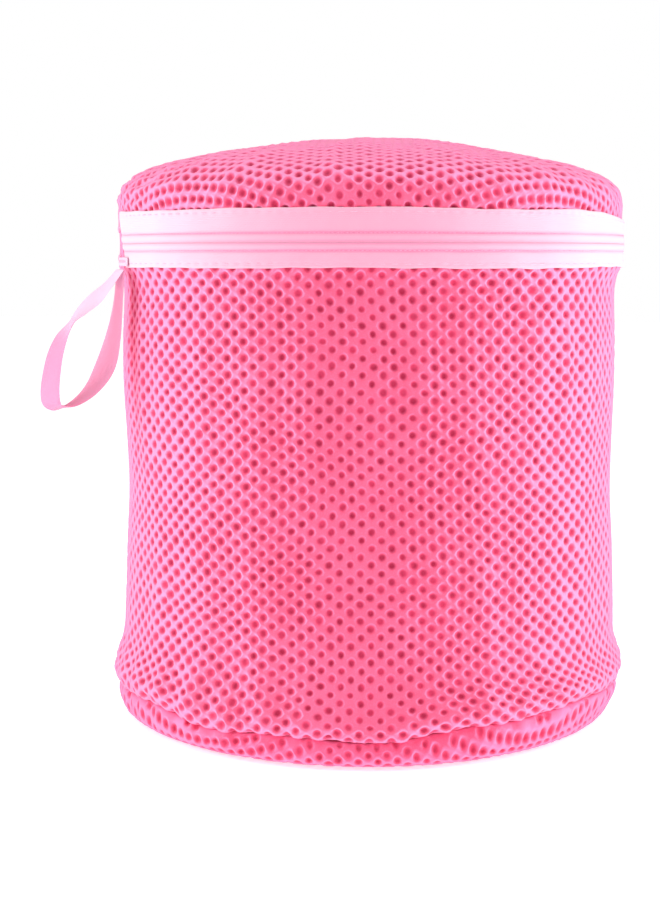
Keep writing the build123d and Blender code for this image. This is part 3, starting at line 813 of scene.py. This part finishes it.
def make_wall():
    cells = lattice(0, WALL_ROUND, 0, wall.length)
    holes = open_cells(cells, WALL_ROUND, wall.length, side=1.8, top=1.5, bottom=3.4)
    pile = Pile()
    perforate(pile, cells, holes, box_limit(WALL_ROUND, wall.length), wall_place, seed=7,
              tone=lambda flat: 0.62 * smooth((flat[:, 1] - wall.length + 4.4) / 2.2))
    add_lining(pile, wall, 0, wall.length - 3.5, rows=60, cols=240, depth=LINING, flip=True)
    add_rim(pile, wall, 0.0, 240, LINING, OUTER)
    return pile.done("wall_mesh", [mesh_mat, inside_mat])


wall_ob = make_wall()

# ------------------------------------------------------------------ lid and base panels


def disc_place(surface, warp_turn, warp_run):
    """The lattice is straight across the disc, turned to face the front."""
    cos_turn, sin_turn = math.cos(FRONT + math.pi / 2), math.sin(FRONT + math.pi / 2)

    def place(flat, height):
        u, v = flat.T
        radius = np.hypot(u, v)
        angle = np.arctan2(u * sin_turn + v * cos_turn, u * cos_turn - v * sin_turn)
        grow = clamp(radius / 25)
        angle = angle + warp_turn(angle, radius) * 0.35 * grow / np.maximum(radius, 10)
        run = radius + (warp_run(angle, radius) * 0.35 * grow
                        * clamp((surface.length - radius) / 8))
        return surface.at(angle, np.clip(run, 0, surface.length), height)

    return place


def disc_panel(surface, seed, hem, lining, lining_end, flip, **tone):
    """A round knitted panel, solid within hem of its edge."""
    reach = surface.length

    def limit(flat):
        radius = np.hypot(flat[:, 0], flat[:, 1])
        inward = np.where(radius > reach, reach / np.maximum(radius, 1e-9), 1.0)
        return flat * inward[:, None]

    cells = lattice(-reach, reach, -reach, reach)
    cells = cells[np.hypot(cells[:, 0], cells[:, 1]) < reach + 2.0]
    holes = np.hypot(cells[:, 0], cells[:, 1]) < reach - hem
    warps = [waves(seed + i, (2, 7), (25, 80)) for i in range(2)]
    pile = Pile()
    perforate(pile, cells, holes, limit, disc_place(surface, *warps), seed, **tone)
    if flip:
        pile.polys = [poly[:, ::-1] for poly in pile.polys]
    add_lining(pile, surface, 0.02, lining_end, rows=50, cols=200, depth=lining, flip=flip)
    return pile


def base_tone(flat):
    return 0.55 * smooth((np.hypot(flat[:, 0], flat[:, 1]) - base.length + 4.0) / 2.0)


lid_pile = disc_panel(lid, seed=31, hem=1.9, lining=LINING, lining_end=lid.length, flip=False)
add_rim(lid_pile, lid, lid.length, 200, OUTER, LINING)
lid_ob = lid_pile.done("lid_mesh", [mesh_mat, inside_mat])
base_ob = disc_panel(
    base, seed=37, hem=3.6, lining=-2.2, lining_end=base.length - 6.0, flip=True, tone=base_tone,
).done("base_mesh", [base_mat, inside_mat])

# ------------------------------------------------------------------ hinge gusset
GUSSET_START, GUSSET_END = math.radians(60.0), math.radians(122.3)
GUSSET_RADIUS = 74.0
GUSSET_Z = 134.35
GUSSET_HEIGHT = 8.7
GUSSET_WIDTH = (GUSSET_END - GUSSET_START) * GUSSET_RADIUS
GUSSET_LINING = -1.8


def gusset_place(flat, height):
    u, v = flat.T
    bow = -0.25 * np.sin(np.pi * clamp(v / GUSSET_HEIGHT))
    return polar(73.78 + bow + height, GUSSET_START + u / GUSSET_RADIUS, GUSSET_Z + v)


def make_gusset():
    """The knit that joins wall and lid between the zip ends."""
    cells = lattice(0, GUSSET_WIDTH, 0, GUSSET_HEIGHT)
    holes = open_cells(cells, GUSSET_WIDTH, GUSSET_HEIGHT, side=1.6, top=1.3, bottom=1.3)
    pile = Pile()
    perforate(pile, cells, holes, box_limit(GUSSET_WIDTH, GUSSET_HEIGHT), gusset_place, seed=47)
    rows, cols = 10, 60
    grid = np.meshgrid(np.linspace(0, GUSSET_WIDTH, cols), np.linspace(0, GUSSET_HEIGHT, rows))
    flat = np.stack(grid, -1).reshape(-1, 2)
    pile.add(gusset_place(flat, np.full(rows * cols, GUSSET_LINING)),
             [grid_faces(rows, cols, flip=True)], INSIDE)
    # its four cut edges
    u, v = np.linspace(0, GUSSET_WIDTH, 240), np.linspace(0, GUSSET_HEIGHT, 40)
    edge = np.concatenate([
        np.stack([u, 0 * u], -1)[:-1], np.stack([0 * v + GUSSET_WIDTH, v], -1)[:-1],
        np.stack([u[::-1], 0 * u + GUSSET_HEIGHT], -1)[:-1], np.stack([0 * v, v[::-1]], -1)[:-1],
    ])
    n = len(edge)
    pile.add(np.concatenate([gusset_place(edge, np.full(n, height))
                             for height in (0.12, -0.5, -1.3, GUSSET_LINING)]),
             [grid_faces(4, n, True, flip=True)])
    return pile.done("hinge_gusset_mesh", [mesh_mat, inside_mat])


gusset_ob = make_gusset()

# ------------------------------------------------------------------ zip tapes
ZIP_Z = 138.5                   # where the two bands meet
BAND_GAP = 0.01                 # from that line to each band
GROOVE_LOW, GROOVE_HIGH = 136.4, 140.9
HEM_LOW, HEM_HIGH = 133.0, 146.2
BAND_START_LOW, BAND_START_HIGH = 125.4, 120.2          # degrees, at the foot and the top
BAND_END = math.radians(419.8)


def lid_sag(angle, z):
    """How far the upper band drops towards its top edge on the right."""
    return 1.7 * near(angle, FRONT + 1.36, 0.36) * smooth((z - 141.5) / 5.8)


def tape(name, z0, z1, groove, hem, seed):
    """A woven band with a groove where the coil is sewn on and a puckered hem."""
    ripple = waves(seed, (18, 40), (300, 900), 8)
    slow = waves(seed + 1, (3, 9), (300, 900), 6)
    levels = np.concatenate([
        np.linspace(z0, z1, 27),
        groove + np.linspace(-1.0, 1.0, 13),
        [hem - 0.45, hem, hem + 0.45],
    ])
    levels = np.unique(np.round(np.clip(levels, z0, z1), 3))
    part, level = np.meshgrid(np.linspace(0, 1, 720), levels)
    start = np.radians(BAND_START_LOW
                       + (BAND_START_HIGH - BAND_START_LOW) * clamp((level - 133.5) / 13.0))
    angle = start + (BAND_END - start) * part
    over_coil = np.exp(-(((level - 138.6) / 2.1) ** 4)) * 0.20
    dip = 0.20 * bell(level, groove, 0.46)
    sewn = 0.13 * bell(level, hem, 0.5) * (0.6 + 0.4 * np.cos(angle * 144))
    lip = 0.15 * bell(np.minimum(level - z0, z1 - level), 0, 0.42)
    free = clamp(abs(level - ZIP_Z) / 9.0)
    radius = (74.92 + over_coil - dip - sewn - lip
              + 0.10 * ripple(angle, level) * free + 0.10 * slow(angle, level) * free)
    z = (level + 0.28 * slow(angle, level + 50) * free
         + 0.13 * ripple(angle, level + 9) * free - lid_sag(angle, level))
    meeting_edge = min(z0, z1, key=lambda edge: abs(edge - ZIP_Z))
    # zone is painted shade along the coil's groove and along the meeting edge
    painted_groove_shade = np.maximum(bell(level, groove, 0.55) * 0.85, 0.80 * bell(level, meeting_edge, 0.60))
    return sheet(name, polar(radius, angle, z), polar(74.34, angle, z), tape_mat,
                 zone=(painted_groove_shade, 0 * painted_groove_shade))


tape_low = tape("zip_band_lower", 131.9, ZIP_Z - BAND_GAP, GROOVE_LOW, HEM_LOW, seed=51)
tape_high = tape("zip_band_upper", ZIP_Z + BAND_GAP, 147.3, GROOVE_HIGH, HEM_HIGH, seed=57)

# ------------------------------------------------------------------ bindings


def bound_edge(name, profile, sewn, seed, lift=lambda angle: 0.0):
    """A soft woven tape folded round a raw edge: a closed (R, z) profile turned about Z,
    with rounded folds, a slight pucker and the dimples of a row sewn at (R, z)."""
    corners = np.asarray(profile + profile[:1], float)
    lengths = arc_length(corners)
    m = max(40, int(lengths[-1] / 0.28))
    cols = 540
    along = np.linspace(0, lengths[-1], m, endpoint=False)
    curve = np.stack([np.interp(along, lengths, corners[:, i]) for i in range(2)], -1)
    curve = (np.roll(curve, 1, 0) + 2 * curve + np.roll(curve, -1, 0)) / 4
    travel = unit(np.roll(curve, -1, 0) - np.roll(curve, 1, 0))
    index, angle = np.meshgrid(np.arange(m), np.arange(cols) * FULL_TURN / cols, indexing="ij")
    radius, z = curve[index, 0], curve[index, 1]
    pucker = waves(seed, (26, 60), (40, 90), 9)
    slow = waves(seed + 1, (3, 9), (60, 120), 6)
    row = bell(np.hypot(radius - sewn[0], z - sewn[1]), 0, 0.55)
    offset = (0.09 * pucker(angle, along[index]) + 0.07 * slow(angle, along[index])
              - row * (0.11 + 0.06 * np.cos(angle * 150)))
    radius, z = radius + travel[index, 1] * offset, z - travel[index, 0] * offset
    quads = grid_faces(m + 1, cols, True) % (m * cols)
    # zone is painted shade in the sewn row's dimples
    return fast_mesh(name, polar(radius, angle, z + lift(angle)), [quads], [binding_mat],
                     zone=row * 0.35)


bind_wall = bound_edge("rim_tape_wall", [
    (71.2, 131.95), (71.2, 134.22), (74.1, 134.22), (74.2, 134.4), (74.1, 134.58), (71.0, 134.6),
    (70.72, 134.42), (70.7, 132.1), (70.95, 131.9),
], sewn=(70.7, HEM_LOW), seed=71)
bind_lid = bound_edge("rim_tape_lid", [
    (70.7, 147.7), (70.7, 142.9), (70.92, 142.72), (74.1, 142.72), (74.2, 142.88), (74.1, 143.05),
    (71.2, 143.06), (71.2, 147.8), (70.95, 147.9),
], sewn=(70.7, 146.6), seed=73)
BASE_STITCH_RADIUS = 68.85
bind_base = bound_edge("base_seam_tape", [
    (72.2, 6.3), (72.2, 9.3), (71.6, 9.7), (69.0, 9.75), (68.25, 9.4), (68.05, 8.6), (68.05, 7.0),
    (68.25, 6.2), (69.0, 5.9), (71.6, 5.95),
], sewn=(BASE_STITCH_RADIUS, 9.75), seed=75, lift=seam_rise)

STRIP_HALF = 5.5                # half width of the side seam's tape
STRIP_ROW = 4.0                 # from its middle to each sewn row
STRIP_RADIUS = 69.6


def seam_strip():
    """The tape over the wall's side seam, laid along the inside of the wall."""
    run0, run1 = wall.run_at_z(112.0), wall.run_at_z(34.0)
    across, run = np.meshgrid(np.linspace(-STRIP_HALF, STRIP_HALF, 41),
                              np.linspace(run0, run1, 260))
    angle = SEAM_ANGLE + across / STRIP_RADIUS
    pucker, slow = waves(77, (40, 90), (5, 12), 9), waves(79, (20, 40), (20, 50), 6)
    rows = bell(abs(across), STRIP_ROW, 0.5)
    inset = np.minimum(np.minimum(STRIP_HALF - abs(across), 3.0),
                       np.minimum(run - run0, run1 - run))
    thick = 0.62 * clamp(inset / 0.5) ** 0.5 - rows * (0.14 + 0.06 * np.cos(run * 1.9))
    thick = thick + (0.06 * pucker(angle, run) + 0.05 * slow(angle, run)) * clamp(inset)
    # zone is painted shade along the two sewn rows
    return sheet("side_seam_tape", wall.at(angle, run, -2.66 - np.maximum(thick, 0.02)),
                 wall.at(angle, run, -2.64), binding_mat, zone=(rows * 0.35, 0 * rows))


bind_side = seam_strip()

# ------------------------------------------------------------------ threads
# each stitch is a rod: place along it from -1 to 1, share of its radius
STITCH_PROFILE = [
    (-1.0, 0.05), (-0.93, 0.6), (-0.72, 0.95), (-0.3, 1.0),
    (0.3, 1.0), (0.72, 0.95), (0.93, 0.6), (1.0, 0.05),
]


def stitches(name, mids, along, out, half, radius, sag, mat):
    """Many short stitches as rounded rods, bowed away from out at their ends."""
    side = np.cross(along, out)
    turn = np.arange(6) * math.pi / 3
    ring = (np.cos(turn)[None, :, None] * side[:, None, :]
            + np.sin(turn)[None, :, None] * out[:, None, :])
    points = []
    for t, share in STITCH_PROFILE:
        middle = mids + along * (t * half) - out * (sag * t * t)
        points.append(middle[:, None, :] + ring * radius * share)
    first = np.arange(len(mids))[:, None] * 48
    quads = (first[:, :, None] + grid_faces(8, 6, True)[None]).reshape(-1, 4)
    caps = np.concatenate([first + np.arange(6)[::-1], first + 42 + np.arange(6)])
    return fast_mesh(name, np.stack(points, 1), [quads, caps], [mat], zone=0.0)


def ring_stitches(name, radius, z, start, end, count, half, thread, mat, sag):
    """A row round the bag from start to end, in degrees."""
    angle = np.radians(np.linspace(start, end, count))
    return stitches(name, polar(radius, angle, z - lid_sag(angle, z)), unit(tangent(angle)),
                    polar(1.0, angle, 0.0), half, thread, sag, mat)


HEM_STITCH = dict(half=1.0, thread=0.12, mat=band_thread_mat, sag=0.12)
COIL_STITCH = dict(half=0.44, thread=0.10, mat=coil_thread_mat, sag=0.05)
hem_low = ring_stitches("band_topstitch_lower", 74.84, HEM_LOW, 127.2, 418.8, 118, **HEM_STITCH)
hem_high = ring_stitches("band_topstitch_upper", 74.84, HEM_HIGH, 121.6, 418.8, 120,
                         **HEM_STITCH)
coil_low_stitch = ring_stitches("coil_stitch_lower", 74.80, GROOVE_LOW, 125.4, 418.9, 320,
                                **COIL_STITCH)
coil_high_stitch = ring_stitches("coil_stitch_upper", 74.80, GROOVE_HIGH, 123.2, 418.9, 322,
                                 **COIL_STITCH)


def base_stitches():
    angle = np.radians(np.arange(120) * 3.0)
    return stitches(
        "base_seam_stitch", polar(BASE_STITCH_RADIUS, angle, 9.72 + seam_rise(angle)),
        tangent(angle), np.tile([0.0, 0, 1], (120, 1)),
        half=1.15, radius=0.12, sag=0.05, mat=thread_mat)


def side_stitches():
    """Two rows of 22 down the side seam's tape."""
    heights = np.repeat(38.0 + 3.3 * np.arange(22), 2)
    angle = SEAM_ANGLE + np.tile([-STRIP_ROW, STRIP_ROW], 22) / STRIP_RADIUS
    run = np.array([wall.run_at_z(z) for z in heights])
    mids = wall.at(angle, run, -3.20)
    along = unit(wall.at(angle, run + 0.5, -3.20) - mids)
    return stitches("side_seam_stitch", mids, along, unit(mids * (-1, -1, 0)),
                    half=1.1, radius=0.12, sag=0.05, mat=thread_mat)


def whip_stitches(name, z):
    """Slanting stitches along an edge of the hinge."""
    angle = np.radians(np.linspace(62.8, 117.2, 40))
    return stitches(name, polar(74.30, angle, z), unit(tangent(angle, across=0.35, up=0.94)),
                    polar(1.0, angle, 0.0), half=1.15, radius=0.17, sag=0.25, mat=thread_mat)


base_stitch = base_stitches()
side_stitch = side_stitches()
whip_low = whip_stitches("hinge_whipstitch_lower", 134.42)
whip_high = whip_stitches("hinge_whipstitch_upper", 142.9)

# ------------------------------------------------------------------ coils
COIL_PITCH = 1.2                # degrees per turn of the coil


def coil(name, z_foot, z_tip, start, count):
    """A flattened nylon helix behind the band, count turns from start degrees."""
    wire, sides, per_turn = 0.27, 6, 12
    n = count * per_turn
    turn = np.arange(n) / per_turn
    angle = np.radians(start + COIL_PITCH * turn)
    phase = FULL_TURN * turn
    half = abs(z_tip - z_foot) / 2 - 0.24
    direction = 1 if z_tip > z_foot else -1
    path = polar(73.4 + 0.48 * np.cos(phase), angle,
                 (z_foot + z_tip) / 2 + direction * half * np.sin(phase))
    travel = unit(np.gradient(path, axis=0))
    side = unit(np.cross(travel, polar(1.0, angle, 0.0)))
    up = np.cross(side, travel)
    ring = np.arange(sides) * FULL_TURN / sides
    points = path[:, None] + wire * (np.cos(ring)[None, :, None] * side[:, None]
                                     + np.sin(ring)[None, :, None] * up[:, None])
    polys = [grid_faces(n, sides, True), np.arange(sides)[::-1][None],
             ((n - 1) * sides + np.arange(sides))[None]]
    return fast_mesh(name, points, polys, [coil_mat], zone=0.0)


coil_low = coil("coil_lower", 136.1, 138.36, BAND_START_LOW, 242)
coil_high = coil("coil_upper", 141.2, 138.64, BAND_START_LOW + COIL_PITCH / 2, 241)

# ------------------------------------------------------------------ hanging loop
LOOP_AT = math.radians(125.0)
# outward, height, turn of the ribbon's width in degrees from tangential towards outward,
# width, zone (how much painted shade its colour takes)
LOOP_STATIONS = [
    (76.3, 131.2, 0, 8.6, 0.05), (79.5, 127.4, 4, 9.0, 0.05), (83.8, 123.0, 14, 9.2, 0.05),
    (87.6, 119.6, 7, 9.2, 0.1), (90.5, 116.6, -4, 9.2, 0.35), (93.3, 112.5, 8, 9.4, 0.85),
    (95.4, 107.0, 15, 9.6, 0.95), (96.7, 100.0, 19, 9.8, 0.95), (96.9, 95.8, 21, 9.8, 0.95),
    (96.3, 93.7, 20, 9.8, 1.0), (94.4, 92.7, 12, 9.6, 1.0), (90.0, 93.8, -2, 9.2, 0.7),
    (84.9, 97.9, -13, 9.4, 0.6), (81.0, 104.2, -23, 9.4, 0.6), (78.6, 112.4, -14, 9.2, 0.6),
    (77.0, 121.8, -3, 8.8, 0.6), (76.1, 131.0, 0, 8.6, 0.4),
]
RIBBON_THICK = 0.62


def ribbon():
    outward, height, twist, width, zone = catmull(LOOP_STATIONS, 14).T[:, :, None]
    out_dir = np.array([math.cos(LOOP_AT), math.sin(LOOP_AT), 0.0])
    side_dir = np.array([-math.sin(LOOP_AT), math.cos(LOOP_AT), 0.0])
    centre = outward * out_dir + height * np.array([0.0, 0, 1])
    travel = unit(np.gradient(centre, axis=0))
    flat_width = unit(side_dir - (travel @ side_dir)[:, None] * travel)
    flat_normal = np.cross(flat_width, travel)
    twist = np.radians(twist)
    width_dir = np.cos(twist) * flat_width + np.sin(twist) * flat_normal
    normal = np.cross(width_dir, travel)
    cols = np.linspace(-1, 1, 11)
    spread = centre[:, None] + width_dir[:, None] * (cols * width / 2)[..., None]
    cup = 0.12 * (1 - cols**2)
    edge = RIBBON_THICK / 2 * np.sqrt(np.clip(1 - np.abs(cols) ** 9, 0, 1))
    outer, inner = (spread + normal[:, None] * (cup + side * edge)[None, :, None]
                    for side in (1, -1))
    along = np.repeat(arc_length(centre), 11)
    return sheet("hanging_ribbon", outer, inner, ribbon_mat, zone=[np.repeat(zone, 11)] * 2,
                 along=[along] * 2, across=[np.tile(cols * 4.5, len(centre))] * 2)


def anchor():
    """The two ribbon ends folded flat on the band."""
    angles = LOOP_AT + np.linspace(-3.1, 3.1, 26) * math.pi / 180
    levels = np.linspace(132.2, 134.7, 9)
    angle, z = np.meshgrid(angles, levels)
    inset = np.minimum(np.minimum(z - levels[0], levels[-1] - z),
                       np.minimum(angle - angles[0], angles[-1] - angle) * 75)
    puff = 0.48 * clamp(inset / 0.35) ** 0.5 - 0.12 * bell(z, 133.7, 0.3)
    return sheet("loop_root", polar(75.32 + puff, angle, z), polar(75.28, angle, z), ribbon_mat,
                 zone=[0 * z] * 2, along=[z] * 2, across=[(angle - LOOP_AT) * 75] * 2)


def loop_tack():
    """A zigzag of stitches across the folded ends."""
    angle = LOOP_AT + np.linspace(-2.7, 2.7, 15) * math.pi / 180
    zigzag = unit(tangent(angle, across=0.25, up=np.where(np.arange(15) % 2, 1.0, -1.0)))
    return stitches("loop_tack", polar(75.74, angle, 133.5), zigzag, polar(1.0, angle, 0.0),
                    half=0.85, radius=0.13, sag=0.1, mat=band_thread_mat)


loop_ob = ribbon()
anchor_ob = anchor()
tack_ob = loop_tack()

# ------------------------------------------------------------------ frame links
# object, body it rides, CAD piece it replaces, slot
for ob, body, cad, slot in (
    (wall_ob, "bag", "wall_panel", "mesh"),
    (base_ob, "bag", "base_panel", "base_mesh"),
    (lid_ob, "lid", "lid_panel", "mesh"),
    (tape_low, "bag", "zip_tape_lower", "tape"),
    (tape_high, "lid", "zip_tape_upper", "tape"),
    (hem_low, "bag", "tape_stitching_lower", "thread"),
    (hem_high, "lid", "tape_stitching_upper", "thread"),
    (coil_low_stitch, "bag", "coil_stitching_lower", "dark_thread"),
    (coil_high_stitch, "lid", "coil_stitching_upper", "dark_thread"),
    (base_stitch, "bag", "base_seam_stitching", "thread"),
    (side_stitch, "bag", "side_seam_stitching", "thread"),
    (whip_low, "bag", "hinge_stitching_lower", "thread"),
    (whip_high, "lid", "hinge_stitching_upper", "thread"),
    (coil_low, "bag", "zip_coil_lower", "coil"),
    (coil_high, "lid", "zip_coil_upper", "coil"),
    (loop_ob, "loop", "hanging_loop", "ribbon"),
    (anchor_ob, "bag", "loop_anchor", "ribbon"),
    (tack_ob, "bag", "loop_bartack", "thread"),
    (bind_wall, "bag", "wall_rim_binding", "binding"),
    (bind_lid, "lid", "lid_rim_binding", "binding"),
    (bind_base, "bag", "base_seam_binding", "binding"),
    (bind_side, "bag", "side_seam_binding", "binding"),
):
    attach(ob, body)
    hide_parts(cad)
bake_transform(gusset_ob)
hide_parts("hinge_gusset")

# CAD pieces kept as they are: node, material, bevel width
for node, mat, bevel_width in (
    ("zip_bottom_stop", coil_mat, 0), ("zip_top_stop_lower", coil_mat, 0),
    ("zip_top_stop_upper", coil_mat, 0),
    ("zip_slider", slider_mat, 0.22), ("zip_pull", slider_mat, 0.18),
):
    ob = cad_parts[node]
    ob.data.materials.clear()
    ob.data.materials.append(mat)
    if bevel_width:
        bevel = ob.modifiers.new("soft_edges", "BEVEL")
        bevel.width = bevel_width * MM
        bevel.segments = 3
        bevel.limit_method = "ANGLE"
        bevel.angle_limit = math.radians(35)

# ------------------------------------------------------------------ stage, in metres


def make_floor():
    bpy.ops.mesh.primitive_plane_add(size=6.0, location=(0, 0, -0.0002))
    floor = bpy.context.object
    floor.name = "floor"
    mat = Material("floor_paper")
    paper = mat.mix(mat.noise(scale=30, detail=2), (0.94, 0.94, 0.94, 1), (0.96, 0.96, 0.96, 1))
    mat.set(Base_Color=paper, Roughness=0.85, Emission_Color=(1, 1, 1, 1),
            Emission_Strength=0.55)
    floor.data.materials.append(mat.data)


def make_world():
    """White, dimmer as a light than as the camera sees it."""
    world = bpy.data.worlds.new("studio")
    scene.world = world
    world.use_nodes = True
    nodes, links = world.node_tree.nodes, world.node_tree.links
    lighting = nodes["Background"]
    rays = nodes.new("ShaderNodeLightPath")
    backdrop = nodes.new("ShaderNodeBackground")
    for background, strength in ((lighting, 0.62), (backdrop, 1.0)):
        background.inputs["Color"].default_value = (1, 1, 1, 1)
        background.inputs["Strength"].default_value = strength
    mixer = nodes.new("ShaderNodeMixShader")
    links.new(rays.outputs["Is Camera Ray"], mixer.inputs[0])
    links.new(lighting.outputs[0], mixer.inputs[1])
    links.new(backdrop.outputs[0], mixer.inputs[2])
    links.new(mixer.outputs[0], nodes["World Output"].inputs["Surface"])


def area(name, angle, radius, height, size, power):
    """A rectangular light aimed at the middle of the bag."""
    data = bpy.data.lights.new(name, "AREA")
    data.shape = "RECTANGLE"
    data.size, data.size_y = size
    data.energy = power
    light = bpy.data.objects.new(name, data)
    scene.collection.objects.link(light)
    light.location = (radius * math.cos(angle), radius * math.sin(angle), height)
    aim = Vector((0, 0, 0.09)) - light.location
    light.rotation_euler = aim.to_track_quat("-Z", "Y").to_euler()


def make_camera():
    distance, height = 0.493, 0.1346
    yaw = FRONT + math.pi + math.radians(1.36)
    pitch = math.radians(-6.7)
    data = bpy.data.cameras.new("camera")
    data.sensor_fit = "VERTICAL"
    data.sensor_height = 36.0
    data.lens = 65.5
    camera = bpy.data.objects.new("camera", data)
    scene.collection.objects.link(camera)
    camera.location = (distance * math.cos(FRONT), distance * math.sin(FRONT), height)
    aim = Vector((math.cos(yaw) * math.cos(pitch), math.sin(yaw) * math.cos(pitch),
                  math.sin(pitch)))
    camera.rotation_euler = aim.to_track_quat("-Z", "Y").to_euler()
    scene.camera = camera


make_floor()
make_world()
area("key_left", FRONT - math.radians(76), radius=0.62, height=0.24, size=(0.26, 0.5), power=1.9)
area("key_right", FRONT + math.radians(72), radius=0.62, height=0.24, size=(0.26, 0.5), power=2.1)
area("top", FRONT, radius=0.30, height=0.72, size=(0.6, 0.6), power=1.15)
make_camera()
scene.view_settings.view_transform = "Standard"
scene.view_settings.look = "None"

bpy.context.view_layer.update()
